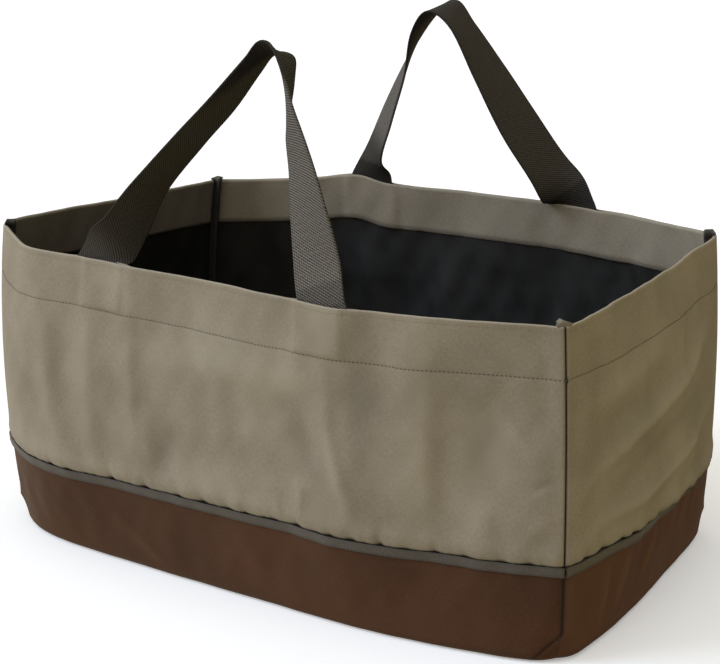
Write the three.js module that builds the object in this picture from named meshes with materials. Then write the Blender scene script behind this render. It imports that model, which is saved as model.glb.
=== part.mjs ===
// Open carrier bag in cloth: four tan walls on a brown tray, a facing inside the rim, a ribbed tape
// along the seam, a bound seam inside each corner and two webbing handles held between the walls and
// the facings. Millimetres, +Z up, the front wall towards -Y, the origin on the floor under the middle
// of the tray.
import * as THREE from 'three';

// driving dimensions
const seamHeight = 80;
const rimHeight = 280;
const clothThickness = 1.4;
const clearance = 0.4;
const trayEdgeRadius = 8;
const trayEdgeAngles = [0, 30, 60, 90];
const traySideHeights = [46, 24];

const facingDepth = 46;
const facingThickness = 1;
const facingStop = 4;
const facingStepNear = 1.5;
const facingStepFar = 14;

const tapeWidth = 8;
const tapeThickness = 1;
const tapeStop = 1;
const tapeMargin = 1;

const strapWidth = 46;
const strapThickness = 2;
const strapDepth = 40;
const strapRise = 4;
const strapColumns = [-1, 0, 1];

const cornerTapeThickness = 2.4;
const cornerTapeDepth = 10;
const cornerTapeSeat = 1;
const cornerTapeRise = 4;
const cornerTapeSteps = 8;

const columnSpacing = 18;
const closestColumns = 4;
const panelRows = [0, 0.1, 0.28, 0.46, 0.64, 0.82];
const slopeStep = 0.002;
const foldTaper = 0.8;

// Plan position of each corner at the floor, at the seam and at the rim, and the height of the rim there.
const corners = {
  frontLeft: { base: [-284, -145], seam: [-298, -142], rim: [-295, -140], height: 283 },
  frontRight: { base: [281, -151], seam: [285, -151], rim: [283, -160], height: 277 },
  backRight: { base: [277, 167], seam: [283, 163], rim: [276, 166], height: 283 },
  backLeft: { base: [-268, 148], seam: [-276, 149], rim: [-267, 150], height: 278 },
};

// A wall runs from one corner to the next, left to right as seen from outside. Its bows give how far it
// stands out from the straight line between its corners, by the fraction of the way along, and how far
// its rim rises. A fold is a ridge, or a valley where its height is negative, between two points of the
// wall: the distance to the right of the wall's middle and the height above the floor. Straps gives the
// middle of each strap end.
const walls = {
  front: {
    from: 'frontLeft',
    to: 'frontRight',
    straps: [-125.5, 98.5],
    bows: [
      { along: 0, base: 0, seam: 0, rim: 0, lift: 0 },
      { along: 0.075, base: 21, seam: 31, rim: 27, lift: -2 },
      { along: 0.14, base: 28, seam: 44, rim: 43, lift: -3 },
      { along: 0.25, base: 32, seam: 45, rim: 44, lift: -2 },
      { along: 0.5, base: 35, seam: 43, rim: 45, lift: -2 },
      { along: 0.73, base: 34, seam: 44, rim: 45, lift: -2 },
      { along: 0.83, base: 27, seam: 29, rim: 32, lift: -1 },
      { along: 0.935, base: 15, seam: 14, rim: 14, lift: 0 },
      { along: 1, base: 0, seam: 0, rim: 0, lift: 0 },
    ],
    folds: [
      { from: [-194, 230], to: [-184, 95], height: -2, width: 13 },
      { from: [-172, 232], to: [-152, 86], height: 1.5, width: 13 },
      { from: [-104, 236], to: [-110, 84], height: 2.2, width: 14 },
      { from: [-84, 170], to: [-70, 90], height: -1.6, width: 16 },
      { from: [88, 215], to: [114, 86], height: 2.2, width: 13 },
      { from: [142, 230], to: [152, 95], height: -1.8, width: 18 },
      { from: [188, 236], to: [190, 88], height: 2, width: 15 },
    ],
  },
  right: {
    from: 'frontRight',
    to: 'backRight',
    straps: [],
    bows: [
      { along: 0, base: 0, seam: 0, rim: 0, lift: 0 },
      { along: 0.1, base: 7, seam: 8, rim: 3, lift: 0 },
      { along: 0.3, base: 11, seam: 17, rim: 6, lift: 0 },
      { along: 0.6, base: 9, seam: 16, rim: 6, lift: 0 },
      { along: 0.88, base: 5, seam: 8, rim: 3, lift: 0 },
      { along: 1, base: 0, seam: 0, rim: 0, lift: 0 },
    ],
    folds: [
      { from: [125, 216], to: [0, 146], height: 2.6, width: 13 },
      { from: [20, 188], to: [-150, 140], height: 2, width: 15 },
      { from: [112, 146], to: [-30, 86], height: 2.4, width: 12 },
      { from: [100, 180], to: [-70, 108], height: -2, width: 15 },
    ],
  },
  back: {
    from: 'backRight',
    to: 'backLeft',
    straps: [-103.5, 111.5],
    bows: [
      { along: 0, base: 0, seam: 0, rim: 0, lift: 0 },
      { along: 0.1, base: 12, seam: 20, rim: 22, lift: 0 },
      { along: 0.22, base: 24, seam: 36, rim: 42, lift: 1 },
      { along: 0.36, base: 30, seam: 43, rim: 49, lift: 3 },
      { along: 0.55, base: 32, seam: 45, rim: 53, lift: 3 },
      { along: 0.67, base: 31, seam: 44, rim: 53, lift: 4 },
      { along: 0.74, base: 28, seam: 42, rim: 52, lift: 10 },
      { along: 0.82, base: 24, seam: 36, rim: 44, lift: 4 },
      { along: 0.92, base: 16, seam: 24, rim: 28, lift: 0 },
      { along: 1, base: 0, seam: 0, rim: 0, lift: 0 },
    ],
    folds: [
      { from: [-150, 232], to: [-140, 90], height: 2, width: 16 },
      { from: [30, 225], to: [10, 92], height: -2, width: 18 },
      { from: [150, 232], to: [140, 92], height: 2, width: 16 },
    ],
  },
  left: {
    from: 'backLeft',
    to: 'frontLeft',
    straps: [],
    bows: [
      { along: 0, base: 0, seam: 0, rim: 0, lift: 0 },
      { along: 0.2, base: 6, seam: 7, rim: 1, lift: 0 },
      { along: 0.5, base: 10, seam: 12, rim: 4, lift: 0 },
      { along: 0.75, base: 13, seam: 14, rim: 9, lift: 0 },
      { along: 0.91, base: 12, seam: 10, rim: 10, lift: 0 },
      { along: 1, base: 0, seam: 0, rim: 0, lift: 0 },
    ],
    folds: [
      { from: [-110, 210], to: [30, 130], height: 2, width: 16 },
      { from: [60, 200], to: [-40, 95], height: -1.6, width: 18 },
    ],
  },
};
const wallOrder = ['front', 'right', 'back', 'left'];

// The free part of each handle: the middle of the webbing, and the direction of its width as a turn from
// +X about the vertical and a dip below the horizontal, in degrees.
const handles = {
  front_handle: {
    wall: 'front',
    leftEnd: 0,
    rightEnd: 1,
    rightward: 1,
    route: [
      { x: -121, y: -177, z: 308, turn: 58, dip: 14 },
      { x: -104, y: -158, z: 344, turn: 89, dip: 25 },
      { x: -77, y: -140, z: 381, turn: 94, dip: 19 },
      { x: -52, y: -129, z: 410, turn: 94, dip: 16 },
      { x: -30, y: -121, z: 438, turn: 97, dip: 9 },
      { x: -18, y: -118, z: 452, turn: 95, dip: 4 },
      { x: -5, y: -118, z: 457, turn: 85, dip: 17 },
      { x: 5, y: -122, z: 453, turn: 90, dip: 33 },
      { x: 13, y: -129, z: 442, turn: 101, dip: 40 },
      { x: 23, y: -141, z: 424, turn: 118, dip: 44 },
      { x: 34, y: -154, z: 406, turn: 133, dip: 42 },
      { x: 51, y: -168, z: 381, turn: 147, dip: 36 },
      { x: 66, y: -180, z: 352, turn: 160, dip: 25 },
      { x: 82, y: -190, z: 308, turn: 174, dip: 10 },
    ],
  },
  back_handle: {
    wall: 'back',
    leftEnd: 1,
    rightEnd: 0,
    rightward: -1,
    route: [
      { x: -108, y: 205, z: 312, turn: -36, dip: 8 },
      { x: -91, y: 206, z: 355, turn: -57, dip: 16 },
      { x: -68, y: 202, z: 402, turn: -68, dip: 15 },
      { x: -46, y: 194, z: 445, turn: -90, dip: 14 },
      { x: -22, y: 187, z: 466, turn: -99, dip: 10 },
      { x: 5, y: 182, z: 450, turn: -93, dip: 0 },
      { x: 36, y: 181, z: 407, turn: -102, dip: 10 },
      { x: 67, y: 185, z: 359, turn: -112, dip: 21 },
      { x: 96, y: 195, z: 315, turn: -120, dip: 23 },
    ],
  },
};
const stepsPerStation = 4;

const cloths = {
  tan: { color: 0x8d8371, roughness: 0.85, metalness: 0 },
  brown: { color: 0x4a3326, roughness: 0.8, metalness: 0 },
  greyTape: { color: 0x5d5a54, roughness: 0.8, metalness: 0 },
  blackTape: { color: 0x1b1a19, roughness: 0.85, metalness: 0 },
  webbing: { color: 0x2c2925, roughness: 0.75, metalness: 0 },
};

function piece(name, geometry, cloth) {
  const mesh = new THREE.Mesh(geometry, new THREE.MeshStandardMaterial(cloth));
  mesh.name = name;
  return mesh;
}

// Smooth curve through one column of a table, with each row's slope taken from the rows beside it.
function columnAt(rows, column, along) {
  const slope = (i) => {
    const before = rows[Math.max(i - 1, 0)];
    const after = rows[Math.min(i + 1, rows.length - 1)];
    return (after[column] - before[column]) / (after.along - before.along);
  };
  let i = 0;
  while (i < rows.length - 2 && along > rows[i + 1].along) i += 1;
  const span = rows[i + 1].along - rows[i].along;
  const t = (along - rows[i].along) / span;
  const rise = t * t * (3 - 2 * t);
  return (
    rows[i][column] * (1 - rise) +
    rows[i + 1][column] * rise +
    span * t * (1 - t) * (slope(i) * (1 - t) - slope(i + 1) * t)
  );
}

// Parabola in height through the values at the floor, at the seam and at the rim.
function levelAt(z, base, seam, rim) {
  const s = z / rimHeight;
  const m = seamHeight / rimHeight;
  return (
    (base * (s - m) * (s - 1)) / m +
    (seam * s * (1 - s)) / (m * (1 - m)) +
    (rim * s * (s - m)) / (1 - m)
  );
}

function cornerAt(name, z) {
  const { base, seam, rim } = corners[name];
  return new THREE.Vector2(levelAt(z, base[0], seam[0], rim[0]), levelAt(z, base[1], seam[1], rim[1]));
}

function wallLength(name) {
  const { from, to } = walls[name];
  return cornerAt(from, rimHeight).distanceTo(cornerAt(to, rimHeight));
}

// Height of a fold at a point of its wall: a bell across the fold that dies away at both of its ends.
function foldAt(fold, across, z) {
  const start = new THREE.Vector2(...fold.from);
  const run = new THREE.Vector2(...fold.to).sub(start);
  const offset = new THREE.Vector2(across, z).sub(start);
  const t = THREE.MathUtils.clamp(offset.dot(run) / run.lengthSq(), 0, 1);
  const distance = offset.cross(run) / run.length();
  return fold.height * Math.exp(-((distance / fold.width) ** 2)) * Math.sin(Math.PI * t) ** foldTaper;
}

// Plan point of a wall's outer face: the straight line between its corners, the bow and the folds.
function outlineAt(name, along, z) {
  const wall = walls[name];
  const start = cornerAt(wall.from, z);
  const chord = cornerAt(wall.to, z).sub(start);
  const across = (along - 0.5) * wallLength(name);
  let out = levelAt(
    z,
    columnAt(wall.bows, 'base', along),
    columnAt(wall.bows, 'seam', along),
    columnAt(wall.bows, 'rim', along),
  );
  for (const fold of wall.folds) out += foldAt(fold, across, z);
  const outward = new THREE.Vector2(chord.y, -chord.x).normalize();
  return start.addScaledVector(chord, along).addScaledVector(outward, out);
}

function outwardAt(name, along, z) {
  const before = outlineAt(name, Math.max(along - slopeStep, 0), z);
  const tangent = outlineAt(name, Math.min(along + slopeStep, 1), z).sub(before);
  return new THREE.Vector2(tangent.y, -tangent.x).normalize();
}

// Sideways direction of the inner corner line, for an inset of 1 from both of the walls that meet there.
function mitreAt(name, atEnd, z) {
  const i = wallOrder.indexOf(name);
  const next = atEnd ? wallOrder[(i + 1) % 4] : wallOrder[(i + 3) % 4];
  const own = outwardAt(name, atEnd ? 1 : 0, z);
  const other = outwardAt(next, atEnd ? 0 : 1, z);
  return own.clone().add(other).divideScalar(1 + own.dot(other));
}

// Point of a wall at an inset from its outer face. An end column lies on the mitre of its corner.
function wallPoint(name, along, z, inset, mitred) {
  const outward = mitred ? mitreAt(name, along > 0.5, z) : outwardAt(name, along, z);
  const p = outlineAt(name, along, z).addScaledVector(outward, -inset);
  return new THREE.Vector3(p.x, p.y, z);
}

function rimAt(name, along) {
  const wall = walls[name];
  const level = THREE.MathUtils.lerp(corners[wall.from].height, corners[wall.to].height, along);
  return level + columnAt(wall.bows, 'lift', along);
}

function strapAlong(name, end) {
  return 0.5 + walls[name].straps[end] / wallLength(name);
}

// Fractions along a wall where its pieces have columns: even steps, and the edges of each strap end.
function columnsOf(name, stop) {
  const length = wallLength(name);
  const steps = Math.round(length / columnSpacing);
  const edges = [];
  for (const middle of walls[name].straps) {
    for (const reach of [strapWidth / 2 + facingStepNear, strapWidth / 2 + facingStepFar]) {
      edges.push(0.5 + (middle - reach) / length, 0.5 + (middle + reach) / length);
    }
  }
  const close = closestColumns / length;
  const columns = [...edges];
  for (let i = 1; i < steps; i += 1) {
    const along = i / steps;
    if (edges.every((edge) => Math.abs(edge - along) > close)) columns.push(along);
  }
  columns.sort((a, b) => a - b);
  return [stop / length, ...columns, 1 - stop / length];
}

function addQuad(index, a, b, c, d) {
  index.push(a, b, c, a, c, d);
}

// Closed body between two grids of points with the same rows and columns, outer first.
function sheetGeometry(outer, inner) {
  const rows = outer.length;
  const columns = outer[0].length;
  const points = [...outer.flat(), ...inner.flat()];
  const out = (r, c) => r * columns + c;
  const inn = (r, c) => rows * columns + r * columns + c;
  const index = [];
  for (let r = 0; r < rows - 1; r += 1) {
    for (let c = 0; c < columns - 1; c += 1) {
      addQuad(index, out(r, c), out(r, c + 1), out(r + 1, c + 1), out(r + 1, c));
      addQuad(index, inn(r, c), inn(r + 1, c), inn(r + 1, c + 1), inn(r, c + 1));
    }
    addQuad(index, out(r, 0), out(r + 1, 0), inn(r + 1, 0), inn(r, 0));
    addQuad(index, out(r + 1, columns - 1), out(r, columns - 1), inn(r, columns - 1), inn(r + 1, columns - 1));
  }
  for (let c = 0; c < columns - 1; c += 1) {
    addQuad(index, out(0, c + 1), out(0, c), inn(0, c), inn(0, c + 1));
    addQuad(index, out(rows - 1, c), out(rows - 1, c + 1), inn(rows - 1, c + 1), inn(rows - 1, c));
  }
  return new THREE.BufferGeometry().setFromPoints(points).setIndex(index);
}

// Heights of a panel's rows at one column: from the seam to the foot of the facing, then up to the rim.
function panelHeights(name, along) {
  const rim = rimAt(name, along);
  const foot = seamHeight + clearance / 2;
  const hem = rim - facingDepth;
  const below = panelRows.map((t) => THREE.MathUtils.lerp(foot, hem, t));
  return [...below, hem, rim - facingDepth / 2, rim];
}

function wallGrid(name, columns, heightsAt, insetAt, mitredEnds) {
  const rows = heightsAt(columns[0]).length;
  const grid = [];
  for (let r = 0; r < rows; r += 1) {
    grid.push(
      columns.map((along, c) => {
        const mitred = mitredEnds && (c === 0 || c === columns.length - 1);
        return wallPoint(name, along, heightsAt(along)[r], insetAt(along), mitred);
      }),
    );
  }
  return grid;
}

function panelGeometry(name) {
  const columns = columnsOf(name, clearance / 2);
  const heights = (along) => panelHeights(name, along);
  const outer = wallGrid(name, columns, heights, () => 0, true);
  const inner = wallGrid(name, columns, heights, () => clothThickness, true);
  return sheetGeometry(outer, inner);
}

// The facing lies against the panel, and steps inwards over the thickness of each strap end.
function facingGeometry(name) {
  const columns = columnsOf(name, facingStop);
  const length = wallLength(name);
  const stepMiddle = strapWidth / 2 + (facingStepNear + facingStepFar) / 2;
  const heights = (along) => panelHeights(name, along).slice(-3);
  const inset = (along) => {
    const across = (along - 0.5) * length;
    const overStrap = walls[name].straps.some((middle) => Math.abs(across - middle) < stepMiddle);
    return clothThickness + clearance + (overStrap ? strapThickness + clearance : 0);
  };
  const outer = wallGrid(name, columns, heights, inset, false);
  const inner = wallGrid(name, columns, heights, (along) => inset(along) + facingThickness, false);
  return sheetGeometry(outer, inner);
}

function tapeGeometry(name) {
  const columns = columnsOf(name, tapeStop);
  const top = seamHeight - clearance;
  const heights = () => [top - tapeWidth, top];
  const outer = wallGrid(name, columns, heights, () => -clearance - tapeThickness, false);
  const inner = wallGrid(name, columns, heights, () => -clearance, false);
  return sheetGeometry(outer, inner);
}

// Rows of one face of the tray from its top edge to the flat floor, as pairs of height and inset. The face
// lies at a depth inside the outer one, and its lower edge is an arc about the same line.
function trayRows(depth) {
  const radius = trayEdgeRadius - depth;
  const underTape = seamHeight - clearance - tapeWidth - tapeMargin;
  const upright = [seamHeight - clearance / 2, underTape, ...traySideHeights];
  const rows = upright.map((z) => ({ z, inset: depth }));
  for (const angle of trayEdgeAngles) {
    const turn = THREE.MathUtils.degToRad(angle);
    rows.push({
      z: trayEdgeRadius - radius * Math.sin(turn),
      inset: trayEdgeRadius - radius * Math.cos(turn),
    });
  }
  return rows;
}

// One cloth for the floor and the four low sides: rings of points from the top edge to the middle of the
// floor.
function trayGeometry() {
  const stations = [];
  for (const name of wallOrder) {
    const columns = columnsOf(name, 0).slice(0, -1);
    columns.forEach((along, c) => stations.push({ name, along, mitred: c === 0 }));
  }
  const ring = ({ z, inset }) => stations.map((s) => {
    const p = wallPoint(s.name, s.along, Math.max(z, trayEdgeRadius), inset, s.mitred);
    return p.setZ(z);
  });
  const face = (depth) => {
    const rings = trayRows(depth).map(ring);
    const edge = rings[rings.length - 1];
    rings.push(edge.map((p) => new THREE.Vector3(p.x / 2, p.y / 2, p.z)));
    return rings;
  };
  const outer = face(0);
  const inner = face(clothThickness);
  const count = stations.length;
  const rings = outer.length;
  const points = [...outer.flat(), ...inner.flat()];
  points.push(new THREE.Vector3(0, 0, 0), new THREE.Vector3(0, 0, clothThickness));
  const out = (r, c) => r * count + (c % count);
  const inn = (r, c) => rings * count + r * count + (c % count);
  const [outMiddle, innMiddle] = [2 * rings * count, 2 * rings * count + 1];
  const index = [];
  for (let c = 0; c < count; c += 1) {
    for (let r = 0; r < rings - 1; r += 1) {
      addQuad(index, out(r, c), out(r + 1, c), out(r + 1, c + 1), out(r, c + 1));
      addQuad(index, inn(r, c), inn(r, c + 1), inn(r + 1, c + 1), inn(r + 1, c));
    }
    addQuad(index, out(0, c), out(0, c + 1), inn(0, c + 1), inn(0, c));
    index.push(out(rings - 1, c), outMiddle, out(rings - 1, c + 1));
    index.push(inn(rings - 1, c), inn(rings - 1, c + 1), innMiddle);
  }
  return new THREE.BufferGeometry().setFromPoints(points).setIndex(index);
}

// Binding of one corner seam: an upright strip along the inside of the corner, pointing to the bag's
// middle.
function cornerTapeGeometry(name) {
  const foot = seamHeight + clearance;
  const top = corners[walls[name].from].height + cornerTapeRise;
  const left = [];
  const right = [];
  for (let r = 0; r <= cornerTapeSteps; r += 1) {
    const z = THREE.MathUtils.lerp(foot, top, r / cornerTapeSteps);
    const mitre = mitreAt(name, false, z);
    const inward = mitre.clone().normalize().negate();
    const side = new THREE.Vector2(-inward.y, inward.x).multiplyScalar(cornerTapeThickness / 2);
    const seat = outlineAt(name, 0, z)
      .addScaledVector(mitre, -(clothThickness + clearance))
      .addScaledVector(inward, cornerTapeSeat);
    const tip = seat.clone().addScaledVector(inward, cornerTapeDepth);
    left.push([seat, tip].map((p) => new THREE.Vector3(p.x + side.x, p.y + side.y, z)));
    right.push([seat, tip].map((p) => new THREE.Vector3(p.x - side.x, p.y - side.y, z)));
  }
  return sheetGeometry(right, left);
}

// Rows of a strap end held in the rim, from its foot to a little above the rim. The columns lie along the
// wall, to the right as seen from the front, and each row also gives the middle and the width's direction.
function strapEnd(name, end, rightward) {
  const middle = strapAlong(name, end);
  const half = (rightward * strapWidth) / 2 / wallLength(name);
  const face = clothThickness + clearance;
  return [-strapDepth, -strapDepth / 2, strapRise].map((rise) => {
    const z = rimAt(name, middle) + rise;
    const columns = strapColumns.map((e) => middle + e * half);
    const near = columns.map((along) => wallPoint(name, along, z, face, false));
    const far = columns.map((along) => wallPoint(name, along, z, face + strapThickness, false));
    const across = near[near.length - 1].clone().sub(near[0]).normalize();
    return { point: wallPoint(name, middle, z, face + strapThickness / 2, false), across, near, far };
  });
}

// Webbing along a handle: both ends flat in the rim, and a smooth curve through the route between them.
function handleGeometry({ wall, leftEnd, rightEnd, rightward, route }) {
  const left = strapEnd(wall, leftEnd, rightward);
  const right = strapEnd(wall, rightEnd, -rightward).reverse();
  const free = route.map(({ x, y, z, turn, dip }) => {
    const heading = new THREE.Euler(0, THREE.MathUtils.degToRad(dip), THREE.MathUtils.degToRad(turn), 'ZYX');
    return { point: new THREE.Vector3(x, y, z), across: new THREE.Vector3(1, 0, 0).applyEuler(heading) };
  });
  const stations = [...left, ...free, ...right];
  const line = new THREE.CatmullRomCurve3(stations.map((s) => s.point), false, 'catmullrom', 0.5);
  const width = new THREE.CatmullRomCurve3(stations.map((s) => s.across), false, 'catmullrom', 0.5);
  const spans = stations.length - 1;
  const firstFree = left.length - 1;
  const lastFree = spans - firstFree;
  const near = left.map((row) => row.near);
  const far = left.map((row) => row.far);
  for (let i = firstFree * stepsPerStation + 1; i < lastFree * stepsPerStation; i += 1) {
    const t = i / stepsPerStation / spans;
    const middle = line.getPoint(t);
    const tangent = line.getTangent(t);
    const across = width.getPoint(t);
    across.addScaledVector(tangent, -across.dot(tangent)).setLength(strapWidth / 2);
    const thick = tangent.clone().cross(across).setLength((rightward * strapThickness) / 2);
    const row = strapColumns.map((e) => middle.clone().addScaledVector(across, e));
    near.push(row.map((p) => p.clone().sub(thick)));
    far.push(row.map((p) => p.clone().add(thick)));
  }
  near.push(...right.map((row) => row.near));
  far.push(...right.map((row) => row.far));
  return rightward > 0 ? sheetGeometry(near, far) : sheetGeometry(far, near);
}

const cornerNames = { front: 'front_left', right: 'front_right', back: 'back_right', left: 'back_left' };

const carrier = new THREE.Group();
carrier.add(piece('base_tray', trayGeometry(), cloths.brown));
for (const name of wallOrder) {
  const wall = new THREE.Group();
  wall.add(piece(`${name}_panel`, panelGeometry(name), cloths.tan));
  wall.add(piece(`${name}_facing`, facingGeometry(name), cloths.tan));
  wall.add(piece(`${name}_seam_tape`, tapeGeometry(name), cloths.greyTape));
  carrier.add(wall);
}
for (const name of wallOrder) {
  carrier.add(piece(`${cornerNames[name]}_corner_tape`, cornerTapeGeometry(name), cloths.blackTape));
}
for (const [name, handle] of Object.entries(handles)) {
  carrier.add(piece(name, handleGeometry(handle), cloths.webbing));
}

export default carrier;
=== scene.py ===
import math

import bpy
import numpy as np
from mathutils import Matrix


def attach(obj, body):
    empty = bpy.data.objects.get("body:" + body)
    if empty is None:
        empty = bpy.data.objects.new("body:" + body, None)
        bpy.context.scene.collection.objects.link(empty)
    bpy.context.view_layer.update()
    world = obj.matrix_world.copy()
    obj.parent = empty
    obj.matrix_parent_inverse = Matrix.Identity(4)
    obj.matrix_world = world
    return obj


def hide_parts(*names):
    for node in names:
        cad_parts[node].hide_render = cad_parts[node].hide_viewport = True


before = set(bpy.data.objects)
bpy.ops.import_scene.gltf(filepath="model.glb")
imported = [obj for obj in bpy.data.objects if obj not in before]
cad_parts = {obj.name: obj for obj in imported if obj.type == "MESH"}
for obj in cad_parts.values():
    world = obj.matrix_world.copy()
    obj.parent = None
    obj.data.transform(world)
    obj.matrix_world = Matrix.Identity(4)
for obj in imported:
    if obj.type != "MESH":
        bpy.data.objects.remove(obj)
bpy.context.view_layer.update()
scene = bpy.context.scene
mm = 0.001
print("frame loaded:", len(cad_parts), "nodes")

# camera at the photograph's angle: azimuth round the bag, elevation above the floor, place in
# metres
camera = {
    "azimuth": 31.97, "elevation": 16.28, "place": (0.8089, -1.2902, 0.6350), "lens": 87.25,
    "film": 36,
}


def makeCamera(spec):
    # columns of the matrix are the view's right, up and back directions
    a, e = math.radians(spec["azimuth"]), math.radians(spec["elevation"])
    right = (math.cos(a), math.sin(a), 0)
    up = (-math.sin(a) * math.sin(e), math.cos(a) * math.sin(e), math.cos(e))
    back = (math.sin(a) * math.cos(e), -math.cos(a) * math.cos(e), math.sin(e))
    data = bpy.data.cameras.new("camera")
    data.sensor_fit = "HORIZONTAL"
    data.sensor_width = spec["film"]
    data.lens = spec["lens"]
    eye = bpy.data.objects.new("camera", data)
    scene.collection.objects.link(eye)
    rows = [(right[k], up[k], back[k], spec["place"][k]) for k in range(3)]
    eye.matrix_world = Matrix(rows + [(0, 0, 0, 1)])
    scene.camera = eye


makeCamera(camera)
print("camera set")

# the bag's form in millimetres: plan of each corner at the floor, at the seam and at the rim, and
# its height
bag = {
    "seam": 80.0, "rim": 280.0, "foot": 80.2, "cloth": 1.3, "hem": 43.0, "edgeStitch": 4.5,
    "strap": 46.0,
}
corners = {
    "frontLeft": {"base": (-284, -145), "seam": (-298, -142), "rim": (-295, -140), "height": 283},
    "frontRight": {"base": (287, -155), "seam": (285, -151), "rim": (283, -160), "height": 277},
    "backRight": {"base": (277, 167), "seam": (283, 163), "rim": (276, 166), "height": 283},
    "backLeft": {"base": (-268, 148), "seam": (-276, 149), "rim": (-267, 150), "height": 278},
}

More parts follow.
